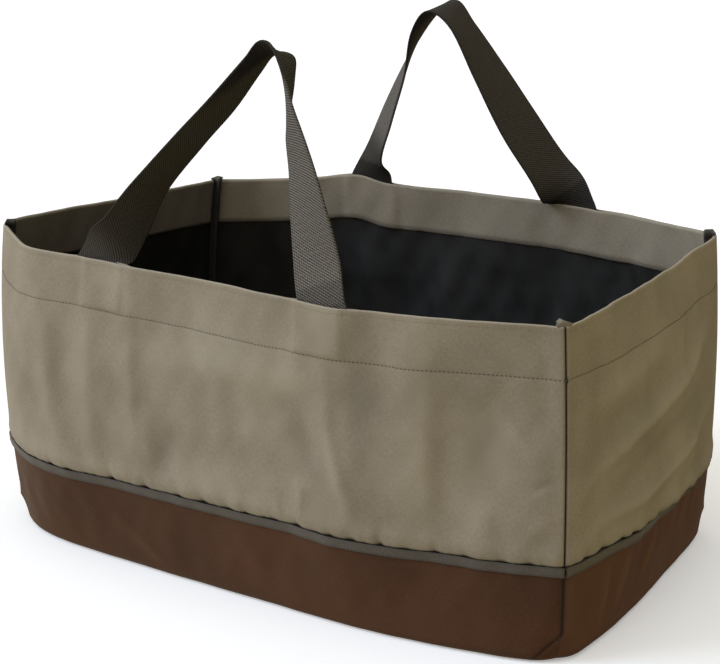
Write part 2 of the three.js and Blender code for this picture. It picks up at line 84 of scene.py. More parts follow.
# A wall runs left to right as seen from outside. Bows: fraction along, then how far it stands out
# at the floor, the seam and the rim, and the rise of the rim. Straps: place under the cloth, how
# far off that it leaves the rim, and its lean in degrees. Creases: height (a valley is negative),
# width on the left, width on the right, and the points of the line from its top: right of the
# wall's middle, above the floor. Puckers: places along the seam. Sag: from where to where the cloth
# comes to hang over the tape, and how far it does.
walls = {
    "front": {
        "from": "frontLeft", "to": "frontRight", "straps": ((-125.5, -6, 28), (98.5, 3, -18)),
        "seed": 3,
        "bows": [
            (0, 0, 0, 0, 0), (0.075, 21, 31, 27, -2), (0.14, 28, 44, 43, -3),
            (0.25, 32, 45, 44, -2), (0.5, 35, 43, 45, -2), (0.73, 34, 44, 45, -2),
            (0.83, 27, 29, 32, -1), (0.935, 15, 14, 14, 0), (1, 0, 0, 0, 0),
        ],
        "creases": [
            (3.0, 22, 13, (-191, 236), (-189, 150), (-186, 84)),
            (2.2, 16, 10, (-141, 240), (-142, 160), (-144, 82)),
            (2.4, 22, 9, (-97, 300), (-94, 224), (-96, 160), (-98, 74)),
            (2.2, 12, 10, (-82, 158), (-84, 94)),
            (-1.5, 12, 13, (-58, 196), (-61, 98)),
            (5.0, 26, 40, (-90, 204), (-10, 212), (64, 214), (112, 212)),
            (3.6, 20, 22, (-56, 100), (36, 104)),
            (-3.2, 14, 18, (-40, 154), (-62, 122), (-83, 90)),
            (-3.8, 24, 14, (72, 200), (88, 120)),
            (1.8, 22, 18, (-32, 196), (-38, 122)),
            (4.8, 48, 19, (116, 330), (118, 202)),
            (-4.4, 17, 34, (132, 306), (134, 200), (136, 150), (138, 56)),
            (3.6, 11, 8, (103, 226), (104, 172), (112, 140), (119, 116), (122, 76)),
            (4.8, 32, 13, (185, 290), (184, 210), (182, 143), (182, 60)),
            (-2.0, 26, 80, (222, 222), (234, 120)),
            (1.6, 7, 7, (236, 214), (254, 184), (275, 156)),
            (1.6, 12, 10, (230, 148), (229, 82)),
            (-1.4, 3, 3, (262, 142), (287, 154)),
            (1.2, 6, 6, (278, 124), (252, 92)),
            (1.3, 5, 4, (48, 106), (53, 80)),
            (1.5, 6, 5, (77, 124), (70, 84)),
            (-1.4, 26, 30, (10, 150), (20, 92)),
            (1.2, 9, 6, (-135, 48), (-76, 4)),
            (-1.0, 20, 24, (60, 66), (90, 14)),
            (0.9, 26, 20, (-10, 70), (30, 12)),
        ],
        "puckers": (
            -198, -174, -128, -90, -54, -26, -1, 18, 44, 68, 102, 121, 147, 167, 190, 214, 241, 264,
        ),
    },
    "right": {
        "from": "frontRight", "to": "backRight", "straps": (), "seed": 5,
        "bows": [
            (0, 0, 0, 0, 0), (0.1, 7, 8, 3, 0), (0.3, 11, 17, 6, 0), (0.6, 9, 16, 6, 0),
            (0.88, 5, 8, 3, 0), (1, 0, 0, 0, 0),
        ],
        "creases": [
            (5.4, 10, 9, (134, 218), (87, 203), (55, 188), (-10, 176), (-63, 170), (-123, 152),
             (-160, 124)),
            (3.2, 13, 13, (10, 228), (-46, 219), (-89, 214), (-134, 206)),
            (5.2, 9, 8, (140, 144), (89, 132), (45, 120), (-6, 113), (-93, 109), (-121, 106),
             (-160, 84)),
            (-2.8, 12, 13, (90, 162), (10, 148), (-60, 140), (-112, 128)),
            (-1.8, 10, 12, (-60, 194), (-126, 186)),
            (-1.8, 9, 11, (110, 96), (20, 92)),
            (2.2, 4, 4, (-8, 74), (-44, 28)),
            (2.2, 4, 4, (-66, 76), (-92, 14)),
            (2.0, 4, 4, (-98, 70), (-116, 8)),
            (1.8, 5, 5, (78, 90), (46, 44)),
        ],
        "puckers": (-138, -112, -84, -66, -38, -12, 14, 33, 62, 88, 104, 131),
        "sag": (-90, 50, 3.9),
    },
    "back": {
        "from": "backRight", "to": "backLeft", "straps": ((-103.5, -8.5, 28), (111.5, 2, 4)),
        "seed": 7,
        "bows": [
            (0, 0, 0, 0, 0), (0.1, 12, 20, 22, 0), (0.22, 24, 36, 42, 1), (0.36, 30, 43, 49, 3),
            (0.55, 32, 45, 53, 3), (0.67, 31, 44, 53, 4), (0.74, 28, 42, 52, 10),
            (0.82, 24, 36, 44, 4), (0.92, 16, 24, 28, 0), (1, 0, 0, 0, 0),
        ],
        "creases": [
            (2.2, 18, 10, (-150, 240), (-146, 160), (-140, 82)),
            (1.8, 12, 14, (-92, 236), (-84, 120)),
            (-2.0, 18, 18, (30, 232), (10, 88)),
            (2.2, 12, 18, (150, 240), (146, 170), (140, 84)),
            (1.4, 9, 8, (84, 190), (70, 96)),
            (1.6, 14, 9, (-30, 214), (-36, 120)),
            (1.2, 8, 8, (206, 200), (232, 120)),
            (1.0, 8, 8, (-210, 60), (-150, 10)),
            (0.9, 10, 8, (60, 64), (110, 14)),
        ],
        "puckers": (
            -240, -212, -190, -161, -137, -108, -84, -60, -31, -9, 20, 41, 70, 96, 118, 147, 171,
            199, 226,
        ),
    },
    "left": {
        "from": "backLeft", "to": "frontLeft", "straps": (), "seed": 11,
        "bows": [
            (0, 0, 0, 0, 0), (0.2, 6, 7, 1, 0), (0.5, 10, 12, 4, 0), (0.75, 13, 14, 9, 0),
            (0.91, 12, 10, 10, 0), (1, 0, 0, 0, 0),
        ],
        "creases": [
            (2.2, 14, 14, (-116, 220), (-40, 172), (34, 126)),
            (-1.7, 16, 16, (64, 208), (-44, 90)),
            (1.6, 10, 10, (96, 160), (60, 84)),
            (1.3, 9, 9, (-60, 120), (-96, 82)),
            (1.0, 6, 7, (20, 66), (-14, 20)),
        ],
        "puckers": (-122, -98, -70, -47, -19, 6, 30, 57, 84, 110),
    },
}
wallOrder = ("front", "right", "back", "left")
cornerOf = {
    "front": "front_left", "right": "front_right", "back": "back_right", "left": "back_left",
}
fineSteps = 4001    # samples where a length along a curve is measured


def smooth(t):
    # 0 to 1 with flat ends
    t = np.clip(t, 0, 1)
    return t * t * (3 - 2 * t)


def ramp(x, start, end):
    # smooth change from 0 at start to 1 at end
    return smooth((x - start) / (end - start))


def bell(x, width):
    # 1 at 0, and e to the minus square of x over the width beside it
    return np.exp(-((x / width) ** 2))


def hump(x, height, middle, width):
    # bell of a height round a middle
    return height * bell(x - middle, width)


def unit(vectors):
    # each vector divided by its length
    return vectors / np.linalg.norm(vectors, axis=-1, keepdims=True)


def curveThrough(rows, column, along):
    # cubic through one column of a table, each row's slope taken from the rows beside it
    rows = np.array(rows, float)
    at, value = rows[:, 0], rows[:, column]
    last = len(at) - 1
    before = np.maximum(np.arange(last + 1) - 1, 0)
    after = np.minimum(np.arange(last + 1) + 1, last)
    slope = (value[after] - value[before]) / (at[after] - at[before])
    i = np.clip(np.searchsorted(at, along) - 1, 0, last - 1)
    span = at[i + 1] - at[i]
    t = (along - at[i]) / span
    rise = t * t * (3 - 2 * t)
    sway = span * t * (1 - t) * (slope[i] * (1 - t) - slope[i + 1] * t)
    return value[i] * (1 - rise) + value[i + 1] * rise + sway


def levelAt(z, base, seam, rim):
    # parabola in height through the values at the floor, the seam and the rim
    s, m = z / bag["rim"], bag["seam"] / bag["rim"]
    middle = seam * s * (1 - s) / (m * (1 - m))
    return base * (s - m) * (s - 1) / m + middle + rim * s * (s - m) / (1 - m)


def cornerAt(name, z):
    # plan of a corner at a height
    c = corners[name]
    return np.stack([levelAt(z, c["base"][k], c["seam"][k], c["rim"][k]) for k in (0, 1)], -1)


def wallLength(name):
    # straight distance between a wall's two corners at the rim
    start, end = [cornerAt(walls[name][key], np.array(bag["rim"])) for key in ("from", "to")]
    return float(np.linalg.norm(start - end))


def rimAt(name, along):
    # straight line between the two corners' heights, with the rise of the bows on it
    low, high = corners[walls[name]["from"]]["height"], corners[walls[name]["to"]]["height"]
    return low + (high - low) * along + curveThrough(walls[name]["bows"], 4, along)


def creaseAt(crease, across, z):
    # bell across a bent line, of one width on each of its sides, that dies away at both of its ends
    height, left, right = crease[:3]
    line = np.array(crease[3:], float)
    sizes = np.hypot(*(line[1:] - line[:-1]).T)
    starts = np.concatenate([[0], np.cumsum(sizes)])
    nearest, side, way = np.full(z.shape, 1e9), np.zeros(z.shape), np.zeros(z.shape)
    for a, b, size, start in zip(line[:-1], line[1:], sizes, starts):
        run = (b - a) / size
        dx, dz = across - a[0], z - a[1]
        t = np.clip(dx * run[0] + dz * run[1], 0, size)
        ox, oz = dx - t * run[0], dz - t * run[1]
        distance = np.hypot(ox, oz)
        closer = distance < nearest
        nearest = np.where(closer, distance, nearest)
        side = np.where(closer, oz * run[0] - ox * run[1], side)
        way = np.where(closer, start + t, way)
    width = np.where(side > 0, right, left)
    return height * bell(nearest, width) * np.sin(np.pi * way / starts[-1])


def crestsAt(name, across, z, narrow=0.6):
    # sum of the wall's creases, each drawn in to a share of its width: it gives a painted highlight
    # on the crests and painted shade in the valleys
    rows = [(c[0], narrow * c[1], narrow * c[2], *c[3:]) for c in walls[name]["creases"]]
    return sum(creaseAt(row, across, z) for row in rows)


# slack of the cloth: length and height of each pair of waves, and the most that they slant; creases
# and waves fade at the corners, and towards the floor to a share
slack = {
    "waves": ((130, 0.5), (90, 0.4), (62, 0.3), (44, 0.22), (30, 0.16), (21, 0.1)), "slant": 0.6,
    "cornerFade": 16, "floorFade": 45, "floorShare": 0.2,
}


def ripplesAt(seed, across, z):
    # seeded sum of long slanting waves
    draw = np.random.default_rng(seed)
    total = np.zeros(z.shape)
    for size, height in slack["waves"]:
        for turn in draw.uniform(-slack["slant"], slack["slant"], 2):
            phase = draw.uniform(0, 2 * np.pi)
            run = across * np.cos(turn) + z * np.sin(turn)
            total += height * np.sin(2 * np.pi * run / size + phase)
    return total


def outwardOf(run):
    # plan direction square to a run along a wall, on its right, which is outside the bag
    return unit(np.stack([run[..., 1], -run[..., 0]], -1))


def smoothOutline(name, along, z):
    # straight line between the corners, and the bow out from it
    start, end = cornerAt(walls[name]["from"], z), cornerAt(walls[name]["to"], z)
    chord = end - start
    bow = levelAt(z, *(curveThrough(walls[name]["bows"], k, along) for k in (1, 2, 3)))
    return start + chord * along[..., None] + outwardOf(chord) * bow[..., None]


def plainNormal(name, along, z, step=0.002):
    # square to the short run of the outline between a step behind and a step ahead
    ahead = smoothOutline(name, np.minimum(along + step, 1), z)
    return outwardOf(ahead - smoothOutline(name, np.maximum(along - step, 0), z))


def mitreAt(name, atEnd, z):
    # sideways direction shared by the two walls of a corner, for an inset of 1 from both
    i = wallOrder.index(name)
    other = wallOrder[(i + 1) % 4] if atEnd else wallOrder[(i + 3) % 4]
    own = plainNormal(name, np.full(z.shape, 1.0 if atEnd else 0.0), z)
    far = plainNormal(other, np.full(z.shape, 0.0 if atEnd else 1.0), z)
    return (own + far) / (1 + (own * far).sum(-1, keepdims=True))


def normalAt(name, along, z, reach=25.0):
    # the wall's own normal, turning into the mitre near each corner
    size = wallLength(name)
    toStart = (1 - smooth(along * size / reach))[..., None]
    toEnd = (1 - smooth((1 - along) * size / reach))[..., None]
    own = plainNormal(name, along, z) * (1 - toStart - toEnd)
    return own + mitreAt(name, False, z) * toStart + mitreAt(name, True, z) * toEnd


def outwardAt(name, along, z):
    # the wall's normal as a level direction in space
    normal = normalAt(name, along, z)
    return np.concatenate([normal, np.zeros((*normal.shape[:-1], 1))], -1)


def endDistance(name, along):
    # distance to the nearer corner
    return np.minimum(along, 1 - along) * wallLength(name)


def acrossAt(name, along):
    # distance right of the wall's middle
    return (along - 0.5) * wallLength(name)


def cornerFade(name, along):
    # 0 at both corners, 1 further in
    return ramp(endDistance(name, along), 0, slack["cornerFade"])


def wallPoint(name, along, z, out=0.0, level=None):
    # the bowed line between the corners, moved out by the creases and ripples, which fade at the
    # corners and towards the floor, and by out; level is the height that the shape is taken at
    # where it isn't z
    along, z = np.broadcast_arrays(np.asarray(along, float), np.asarray(z, float))
    level = z if level is None else np.broadcast_to(level, z.shape)
    across, share = acrossAt(name, along), slack["floorShare"]
    lumps = ripplesAt(walls[name]["seed"], across, level)
    for crease in walls[name]["creases"]:
        lumps = lumps + creaseAt(crease, across, level)
    toFloor = share + (1 - share) * ramp(level, 0, slack["floorFade"])
    lumps = lumps * cornerFade(name, along) * toFloor + out
    plan = smoothOutline(name, along, level) + normalAt(name, along, level) * lumps[..., None]
    return np.concatenate([plan, z[..., None]], -1)


def spacedSteps(length, fine, coarse, reach):
    # positions from 0 to length, fine at both ends and coarse further from them than reach
    x = np.linspace(0, length, fineSteps)
    share = np.clip(np.minimum(x, length - x) / reach, 0, 1)
    count = np.concatenate([[0], np.cumsum(np.diff(x) / (fine + (coarse - fine) * share[1:]))])
    return np.interp(np.linspace(0, count[-1], math.ceil(count[-1]) + 1), count, x)


def pairGrid(rowValues, columnValues):
    # each row's value beside each column's value
    return np.stack(np.broadcast_arrays(rowValues[:, None], columnValues[None, :]), -1)


def cellCorners(grid, flip):
    # what a grid holds at the four corners of each of its cells, in turn, or the other way round
    corner = [grid[:-1, :-1], grid[:-1, 1:], grid[1:, 1:], grid[1:, :-1]]
    return np.stack(corner[::-1] if flip else corner, 2)


def gridFaces(rows, columns, wrap, flip):
    # four point numbers for each cell; a wrapped grid's first column follows its last
    index = np.arange(rows * columns).reshape(rows, columns)
    if wrap:
        index = np.concatenate([index, index[:, :1]], 1)
    return cellCorners(index, flip).reshape(-1, 4)


def gridUvs(uv, flip):
    # one pair for each face corner, in the order of gridFaces
    return cellCorners(uv, flip).reshape(-1, 2)


def makeMesh(name, points, faces, uvs, materials, marks=None):
    # faces is a list of index lists, uvs one pair for each face corner, marks one value for each
    # point
    mesh = bpy.data.meshes.new(name)
    mesh.from_pydata((points.reshape(-1, 3) * mm).tolist(), [], faces)
    layer = mesh.uv_layers.new(name="flat")
    layer.data.foreach_set("uv", (np.asarray(uvs, float) * mm).astype(np.float32).ravel())
    for key, values in (marks or {}).items():
        attribute = mesh.attributes.new(key, "FLOAT", "POINT")
        attribute.data.foreach_set("value", values.astype(np.float32).ravel())
    mesh.polygons.foreach_set("use_smooth", np.ones(len(mesh.polygons), bool))
    for material in materials:
        mesh.materials.append(material)
    mesh.update()
    piece = bpy.data.objects.new(name, mesh)
    scene.collection.objects.link(piece)
    return piece


def makeSheet(name, points, uv, flip, materials, marks):
    # open grid of points
    faces = gridFaces(*points.shape[:2], False, flip).tolist()
    return makeMesh(name, points, faces, gridUvs(uv, flip), materials, marks)


def addThickness(piece, thickness, innerMaterial):
    # shell inwards from the modelled face
    shell = piece.modifiers.new("thickness", "SOLIDIFY")
    shell.thickness = thickness * mm
    shell.offset = -1
    shell.material_offset = innerMaterial


def makeTube(name, rings, uv, materials, marks=None):
    # closed body from rings of points along a path, with a cap at both ends, faces turned outwards
    rows, columns = rings.shape[:2]
    quads = gridFaces(rows, columns, True, False)
    flatPoints = rings.reshape(-1, 3)
    a, b, c, d = (flatPoints[quads[:, k]] for k in range(4))
    volume = (a * (np.cross(b, c) + np.cross(c, d))).sum()
    flip = volume < 0
    quads = gridFaces(rows, columns, True, flip)
    first, last = np.arange(columns), np.arange(columns) + (rows - 1) * columns
    caps = [first if flip else first[::-1], last[::-1] if flip else last]
    faces = quads.tolist() + [cap.tolist() for cap in caps]
    uvs = np.concatenate([gridUvs(uv, flip), *(uv[:, :-1].reshape(-1, 2)[cap] for cap in caps)])
    return makeMesh(name, rings, faces, uvs, materials, marks)


def pathLengths(points):
    # distance travelled at each point, from the sum of the steps before it
    return np.concatenate([[0], np.cumsum(np.linalg.norm(np.diff(points, axis=0), axis=1))])


def carry(piece, node=None):
    # every piece is on the bag's one body
    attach(piece, "root")
    if node:
        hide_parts(node)
    return piece


# nodes for the materials
def newMaterial(name):
    # a material, its nodes and its shader
    material = bpy.data.materials.new(name)
    material.use_nodes = True
    return material, material.node_tree, material.node_tree.nodes["Principled BSDF"]


def addNode(tree, kind, **settings):
    made = tree.nodes.new(kind)
    for key, value in settings.items():
        setattr(made, key, value)
    return made


def put(tree, socket, value):
    # a socket is linked, a number or colour is set
    if isinstance(value, bpy.types.NodeSocket):
        tree.links.new(value, socket)
    else:
        socket.default_value = value


def calc(tree, operation, *values):
    # one step of arithmetic on sockets or numbers
    made = addNode(tree, "ShaderNodeMath", operation=operation)
    for socket, value in zip(made.inputs, values):
        put(tree, socket, value)
    return made.outputs[0]


def weighted(tree, *pairs):
    # sum of values, each times its weight
    total = 0.0
    for value, weight in pairs:
        total = calc(tree, "MULTIPLY_ADD", value, weight, total)
    return total


def wave(tree, value, pitch):
    # sine with one turn each pitch, in millimetres of the flat cloth
    return calc(tree, "SINE", calc(tree, "MULTIPLY", value, 2 * math.pi / (pitch * mm)))


def noise(tree, coordinates, scale, detail=3.0, stretch=(1, 1, 1)):
    # cloudy noise, finer along an axis whose stretch is larger
    mapping = addNode(tree, "ShaderNodeMapping")
    mapping.inputs["Scale"].default_value = stretch
    put(tree, mapping.inputs["Vector"], coordinates)
    made = addNode(tree, "ShaderNodeTexNoise")
    made.inputs["Scale"].default_value = scale
    made.inputs["Detail"].default_value = detail
    put(tree, made.inputs["Vector"], mapping.outputs[0])
    return made.outputs["Fac"]


def blendColours(tree, share, first, second):
    # the first colour at 0, the second at 1
    made = addNode(tree, "ShaderNodeMix", data_type="RGBA")
    put(tree, made.inputs["Factor"], share)
    for socket, value in zip([s for s in made.inputs if s.type == "RGBA"], (first, second)):
        put(tree, socket, value if isinstance(value, bpy.types.NodeSocket) else (*value, 1))
    return [s for s in made.outputs if s.type == "RGBA"][0]


def spread(tree, value, low, high, fromLow=0.0, fromHigh=1.0):
    # one range moved in a straight line to another
    made = addNode(tree, "ShaderNodeMapRange")
    numbers = {"From Min": fromLow, "From Max": fromHigh, "To Min": low, "To Max": high}
    for key, number in numbers.items():
        made.inputs[key].default_value = number
    put(tree, made.inputs["Value"], value)
    return made.outputs[0]


def flatCoordinates(tree):
    # place on the flat cloth, and its two parts
    uv = addNode(tree, "ShaderNodeUVMap", uv_map="flat")
    split = addNode(tree, "ShaderNodeSeparateXYZ")
    tree.links.new(uv.outputs[0], split.inputs[0])
    return uv.outputs[0], split.outputs[0], split.outputs[1]


def objectCoordinates(tree):
    return addNode(tree, "ShaderNodeTexCoord").outputs["Object"]


def markOf(tree, name):
    # value that the mesh keeps at each point
    return addNode(tree, "ShaderNodeAttribute", attribute_name=name).outputs["Fac"]


def plainWeave(tree, pitch):
    # the flat coordinates, and the product of a sine along and a sine across
    uv, across, upward = flatCoordinates(tree)
    return uv, calc(tree, "MULTIPLY", wave(tree, across, pitch), wave(tree, upward, pitch))


def threadNoise(tree, uv, along, across):
    # noise drawn out into threads: its scales along and across the flat cloth
    return noise(tree, uv, 1.0, 2.0, (along, across, 1))


noiseRange = (0.3, 0.7)    # where most of a noise's values lie


def setShader(tree, shader, spec, colour, unevenness, height, fromRange=noiseRange):
    # the roughness follows the unevenness; what is even goes straight on its socket
    put(tree, shader.inputs["Base Color"], colour)
    put(tree, shader.inputs["Roughness"], spread(tree, unevenness, *spec["roughness"], *fromRange))
    for key, socket in (("gloss", "Specular IOR Level"), ("sheen", "Sheen Weight")):
        if key in spec:
            shader.inputs[socket].default_value = spec[key]
    bump = addNode(tree, "ShaderNodeBump")
    bump.inputs["Strength"].default_value = spec["strength"]
    bump.inputs["Distance"].default_value = spec["depth"] * mm
    put(tree, bump.inputs["Height"], height)
    put(tree, shader.inputs["Normal"], bump.outputs[0])


def wovenCloth(name, spec):
    # plain weave, broken up by thread noise drawn out both ways; the mark of painted light takes
    # the colour to a pale one and the mark of painted shade to the groove's
    material, tree, shader = newMaterial(name)
    uv, weave = plainWeave(tree, spec["pitch"])
    warp, weft = spec["threads"]
    bothWays = [threadNoise(tree, uv, *pair) for pair in ((warp, weft), (weft, warp))]
    slubs = weighted(tree, *((threads, 0.5) for threads in bothWays))
    mottle = noise(tree, objectCoordinates(tree), spec["mottle"], 5.0)
    tone = weighted(tree, (mottle, spec["mottleShare"]), (slubs, spec["slubShare"]))
    tone = spread(tree, tone, 0, 1, *spec["toneRange"])
    colour = blendColours(tree, tone, spec["dark"], spec["light"])
    colour = blendColours(tree, markOf(tree, "paintedLight"), colour, spec["paintedLightColour"])
    colour = blendColours(tree, markOf(tree, "shade"), colour, spec["groove"])
    height = weighted(tree, (weave, spec["weaveShare"]), (slubs, 1.0))
    setShader(tree, shader, spec, colour, mottle, height)
    return material


def coatedBack(name, spec):
    # smooth coating that lets a little of the weave through
    material, tree, shader = newMaterial(name)
    weave = plainWeave(tree, spec["pitch"])[1]
    scuffs = noise(tree, objectCoordinates(tree), spec["scuffs"], 6.0)
    colour = blendColours(tree, scuffs, spec["dark"], spec["light"])
    height = weighted(tree, (weave, spec["weaveShare"]), (scuffs, 1.0))
    setShader(tree, shader, spec, colour, scuffs, height)
    return material


def ribbedTape(name, spec):
    # ribs across the length, rounded by the sine; the shade mark takes the colour to the groove's:
    # painted shade along the tape's edges, and on the binding a painted highlight at the knob
    material, tree, shader = newMaterial(name)
    uv, along = flatCoordinates(tree)[:2]
    fibres = threadNoise(tree, uv, *spec["threads"])
    relief = weighted(tree, (wave(tree, along, spec["pitch"]), spec["ribShare"]), (fibres, 1.0))
    tone = spread(tree, relief, 0, 1, *spec["toneRange"])
    colour = blendColours(tree, tone, spec["dark"], spec["light"])
    colour = blendColours(tree, markOf(tree, "shade"), colour, spec["groove"])
    setShader(tree, shader, spec, colour, fibres, relief)
    return material


def heavyWebbing(name, spec):
    # twill: a sine of the length plus a share of the width, so the ribs lie slanting across the
    # strap; the mark of painted light takes it from its dark tones to paler ones, a painted sheen
    material, tree, shader = newMaterial(name)
    uv, across, along = flatCoordinates(tree)
    ribs = wave(tree, weighted(tree, (across, spec["slant"]), (along, 1.0)), spec["pitch"])
    cords = wave(tree, across, spec["cords"])
    fibres = threadNoise(tree, uv, *spec["threads"])
    relief = weighted(tree, (ribs, spec["ribShare"]), (cords, spec["cordShare"]))
    tone = weighted(tree, (relief, spec["reliefShare"]), (fibres, 1.0))
    tone = spread(tree, tone, 0, 1, *spec["toneRange"])
    plain = blendColours(tree, tone, spec["dark"], spec["light"])
    paintedSheen = blendColours(tree, tone, *spec["paintedSheen"])
    colour = blendColours(tree, markOf(tree, "paintedLight"), plain, paintedSheen)
    colour = blendColours(tree, markOf(tree, "shade"), colour, spec["groove"])
    height = weighted(tree, (relief, 1.0), (fibres, spec["fibreShare"]))
    setShader(tree, shader, spec, colour, fibres, height)
    return material


def twistedThread(name, spec):
    # two ply thread: slanting waves along the flat length of each stitch
    material, tree, shader = newMaterial(name)
    along, around = flatCoordinates(tree)[1:]
    tone = spread(tree, wave(tree, calc(tree, "ADD", along, around), spec["pitch"]), 0, 1, -1, 1)
    colour = blendColours(tree, tone, spec["dark"], spec["light"])
    setShader(tree, shader, spec, colour, tone, tone, (0, 1))
    return material


# Finishes. Colours are linear; pitch, cords and depth are in millimetres. A share is how much of
# the weave, ribs or noise goes into the tone or the relief, and toneRange is what runs from dark to
# light.
clothFinish = {
    "pitch": 0.75, "threads": (900, 260), "mottleShare": 0.6, "slubShare": 0.6, "weaveShare": 0.25,
    "toneRange": (0.49, 0.71),
}
# the paler colour is the one that the mark of painted light takes each cloth to, on rims, fold
# crests and one side of the tray; the groove colour is that of painted shade
tanFinish = {
    **clothFinish, "dark": (0.25, 0.217, 0.171), "light": (0.328, 0.288, 0.233),
    "paintedLightColour": (0.46, 0.42, 0.35), "groove": (0.012, 0.010, 0.008), "mottle": 16.0,
    "roughness": (0.66, 0.84), "gloss": 0.2, "sheen": 0.03, "depth": 0.35, "strength": 0.45,
}
brownFinish = {
    **clothFinish, "dark": (0.055, 0.021, 0.0098), "light": (0.077, 0.0315, 0.0152),
    "paintedLightColour": (0.135, 0.06, 0.044), "groove": (0.008, 0.005, 0.004), "mottle": 13.0,
    "roughness": (0.5, 0.66), "gloss": 0.22, "sheen": 0.0, "depth": 0.3, "strength": 0.4,
}
coatingFinish = {
    "dark": (0.004, 0.004, 0.004), "light": (0.012, 0.012, 0.012), "pitch": 0.75, "scuffs": 30.0,
    "weaveShare": 0.2, "roughness": (0.42, 0.6), "depth": 0.3, "strength": 0.35,
}
tapeFinish = {
    "dark": (0.034, 0.029, 0.026), "light": (0.108, 0.091, 0.081), "groove": (0.014, 0.012, 0.011),
    "pitch": 1.25, "threads": (2500, 300), "ribShare": 0.13, "toneRange": (0.2, 0.8),
    "roughness": (0.5, 0.7), "sheen": 0.1, "depth": 0.35, "strength": 0.6,
}
# on the binding the groove colour is pale: that of the painted highlight on the knob
bindingFinish = {
    **tapeFinish, "dark": (0.008, 0.008, 0.008), "light": (0.026, 0.025, 0.024),
    "groove": (0.28, 0.25, 0.19), "pitch": 1.1, "roughness": (0.55, 0.75), "sheen": 0.05,
    "depth": 0.3,
}
# the second pair of tones is a painted sheen, for the stretches that catch the light
webbingFinish = {
    "dark": (0.034, 0.031, 0.028), "light": (0.088, 0.08, 0.073), "groove": (0.01, 0.009, 0.008),
    "paintedSheen": ((0.043, 0.04, 0.037), (0.25, 0.23, 0.215)), "pitch": 2.5, "cords": 2.1,
    "slant": 0.75, "threads": (1800, 400), "ribShare": 0.5, "cordShare": 0.25, "reliefShare": 0.5,
    "fibreShare": 0.6, "toneRange": (0.2, 0.8), "roughness": (0.78, 0.9), "gloss": 0.06,
    "sheen": 0.0, "depth": 0.8, "strength": 0.85,
}
threadFinish = {
    "dark": (0.045, 0.037, 0.027), "light": (0.085, 0.071, 0.053), "pitch": 0.7,
    "roughness": (0.5, 0.65), "depth": 0.15, "strength": 0.5,
}
knotFinish = {**threadFinish, "dark": (0.006, 0.005, 0.004), "light": (0.016, 0.014, 0.012)}
tanThreadFinish = {**threadFinish, "dark": (0.22, 0.19, 0.14), "light": (0.3, 0.265, 0.2)}
tanCloth = wovenCloth("tan_cloth", tanFinish)
brownCloth = wovenCloth("brown_cloth", brownFinish)
blackCoating = coatedBack("black_coating", coatingFinish)
greyTape = ribbedTape("grey_tape", tapeFinish)
blackBinding = ribbedTape("black_binding", bindingFinish)
darkWebbing = heavyWebbing("dark_webbing", webbingFinish)
darkThread = twistedThread("dark_thread", threadFinish)
tanThread = twistedThread("tan_thread", tanThreadFinish)
knotThread = twistedThread("knot_thread", knotFinish)
print("materials made")

# puckers along the seam: depth and width of the wall's own ones, and of small ones at a pitch
# between them
puckerForm = {
    "seed": 40, "depth": (0.5, 1.1), "width": (3.0, 6.0),
    "small": {
        "margin": 12, "pitch": 10.0, "shift": (-3, 3), "depth": (0.0, 0.45), "width": (1.8, 3.2),
    },
}
# Tan walls. Across, below and above: the grid's step at its ends, its step further in and how far
# in that is. Three numbers elsewhere are the height, middle and width of a bell, but for the curl
# and the shade of the foot: there they are its height, its width and how much wider a pucker makes
# it. A sag eases the cloth and makes it stand out. The shades are painted shade, along the foot, at
# the ends, under the sag and in the valleys; the rim and the crests get a painted highlight.
panelForm = {
    "across": (0.7, 2.5, 10), "below": (0.7, 2.7, 10), "above": (0.7, 2.6, 5), "belowHem": 157.0,
    "rimRadius": 1.2, "rollAngles": (0, 30, 60, 90), "endGap": 0.3, "endFade": 8,
    "hemGroove": (0.3, 0, 1.5), "edgeGroove": (0.12, 0, 1.0), "bulge": (1.7, 9, 8),
    "pucker": (1.7, 0, 11), "endCurl": (1.5, 0, 1.7), "footCurl": (2.2, 1.5, 1.1),
    "strapRelief": 1.3, "strapEdge": 1.6, "strapFoot": (2, -4), "sagFade": 24, "sagEase": 0.16,
    "sagOut": (0.75, 3, 10), "sagShade": (0.24, 0, 4.5), "footShade": (0.85, 0.45, 2.0),
    "endShade": 0.8, "valleyShade": 0.045, "crestHighlight": 0.065, "rimHighlight": (0.5, 0, 1.1),
}


def puckersAt(name, across):
    # row of bells at the puckers and a closer row of small ones, depth and width drawn from the
    # wall's seed
    form, small = puckerForm, puckerForm["small"]
    draw = np.random.default_rng(walls[name]["seed"] + form["seed"])
    total = np.zeros(across.shape)
    for middle in walls[name]["puckers"]:
        depth, width = draw.uniform(*form["depth"]), draw.uniform(*form["width"])
        total += hump(across, depth, middle, width)
    half = wallLength(name) / 2 - small["margin"]
    for middle in np.arange(-half, half, small["pitch"]):
        shift, depth, width = [draw.uniform(*small[key]) for key in ("shift", "depth", "width")]
        total += hump(across, depth, middle + shift, width)
    return total


def sagAt(name, along):
    # how far the cloth hangs down over the tape: 0 to a full drop between two places along the wall
    start, end, drop = walls[name].get("sag", (0, 1, 0))
    fade = ramp(endDistance(name, along), 0, panelForm["sagFade"])
    return drop * ramp(acrossAt(name, along), start, end) * fade


